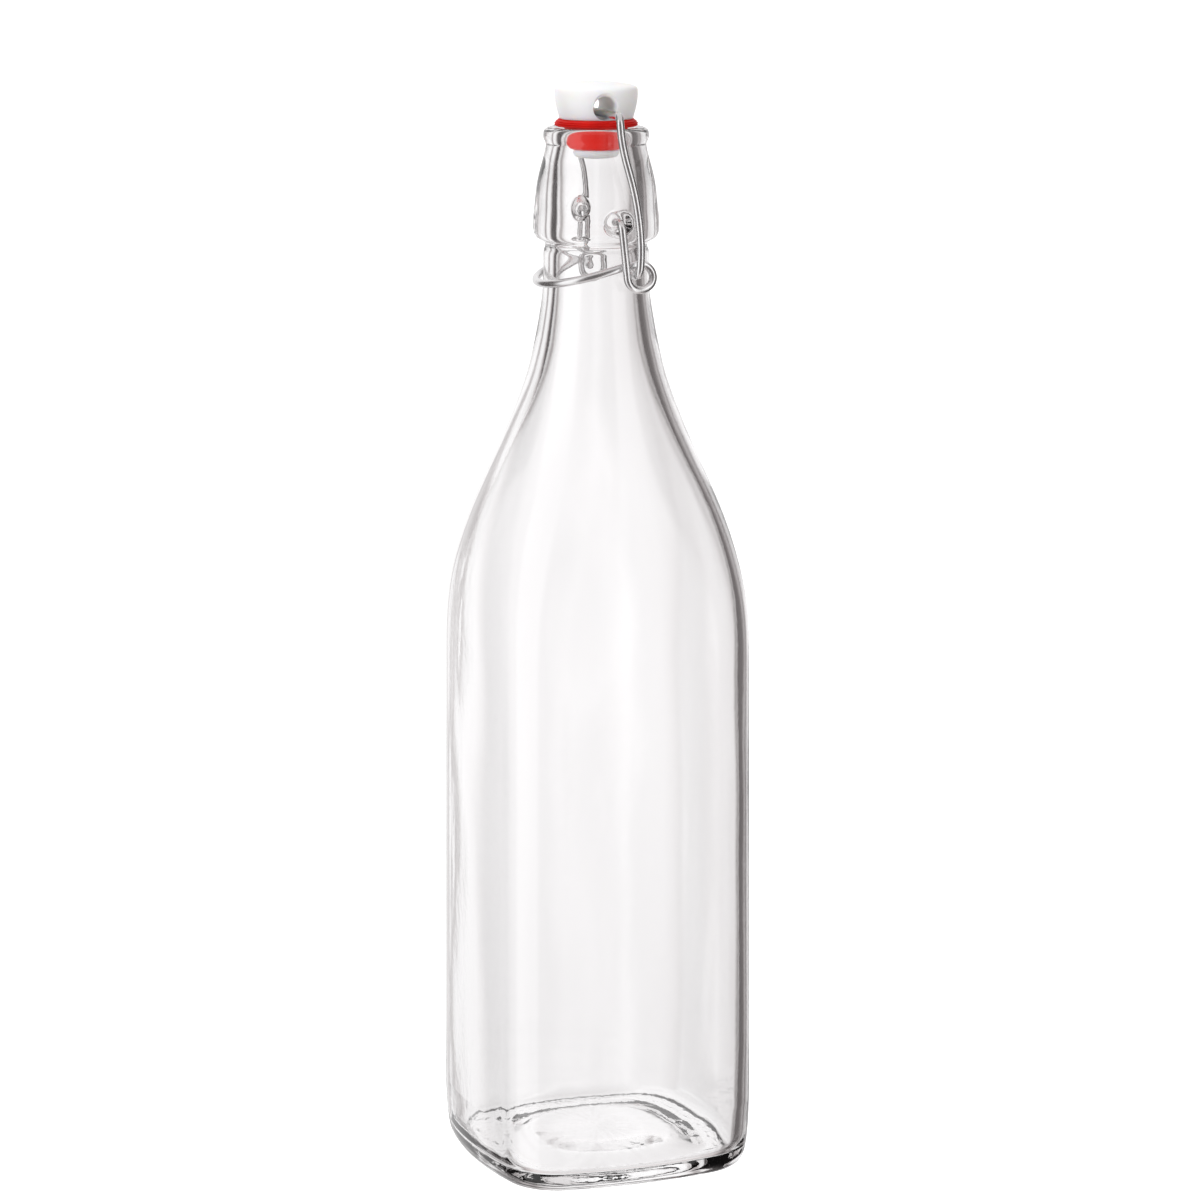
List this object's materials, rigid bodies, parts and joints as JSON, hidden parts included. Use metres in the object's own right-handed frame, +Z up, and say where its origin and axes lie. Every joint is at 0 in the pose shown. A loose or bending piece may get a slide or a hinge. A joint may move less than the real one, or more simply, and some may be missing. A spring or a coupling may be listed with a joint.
{
  "type": "swing-top growler",
  "caption": "Square-shouldered clear glass growler with a wire swing-top closure: lever, yoke, stopper and rubber gasket.",
  "frame": {"origin": "centre of the resting ring under the bottle, on the surface it stands on", "axes": "+Z up along the bottle's axis, flat sides square to X and Y, closure pivot axes along Y, lever handle on the -X side"},
  "size_m": [0.0822, 0.0822, 0.318],
  "materials": {
    "clear_glass": "clear moulded flint glass, glossy",
    "white_stopper": "satin white",
    "red_rubber": "matte moulded rubber, wet-looking where seen through the glass",
    "steel_wire": "bright drawn wire"
  },
  "bodies": {
    "bottle": {"glass_bottle": "clear_glass"},
    "lever": {"lever_wire": "steel_wire"},
    "yoke": {"yoke_wire": "steel_wire"},
    "stopper": {"stopper": "white_stopper", "gasket": "red_rubber"}
  },
  "joints": [
    {"name": "lever_turn", "type": "hinge", "parent": "bottle", "child": "lever", "pos_m": [0, 0, 0.2772], "axis": [0, 1, 0], "range_deg": [0, 94]},
    {"name": "yoke_swing", "type": "hinge", "parent": "lever", "child": "yoke", "pos_m": [0.0046, 0, 0.2617], "axis": [0, 1, 0], "range_deg": [-66, 0]},
    {"name": "stopper_tilt", "type": "hinge", "parent": "yoke", "child": "stopper", "pos_m": [-0.0003, 0, 0.30875], "axis": [0, 1, 0], "range_deg": [-28.5, 0]}
  ],
  "couplings": [
    {"joint": "yoke_swing", "follows": "lever_turn", "ratio": -0.7},
    {"joint": "stopper_tilt", "follows": "lever_turn", "ratio": -0.3}
  ]
}
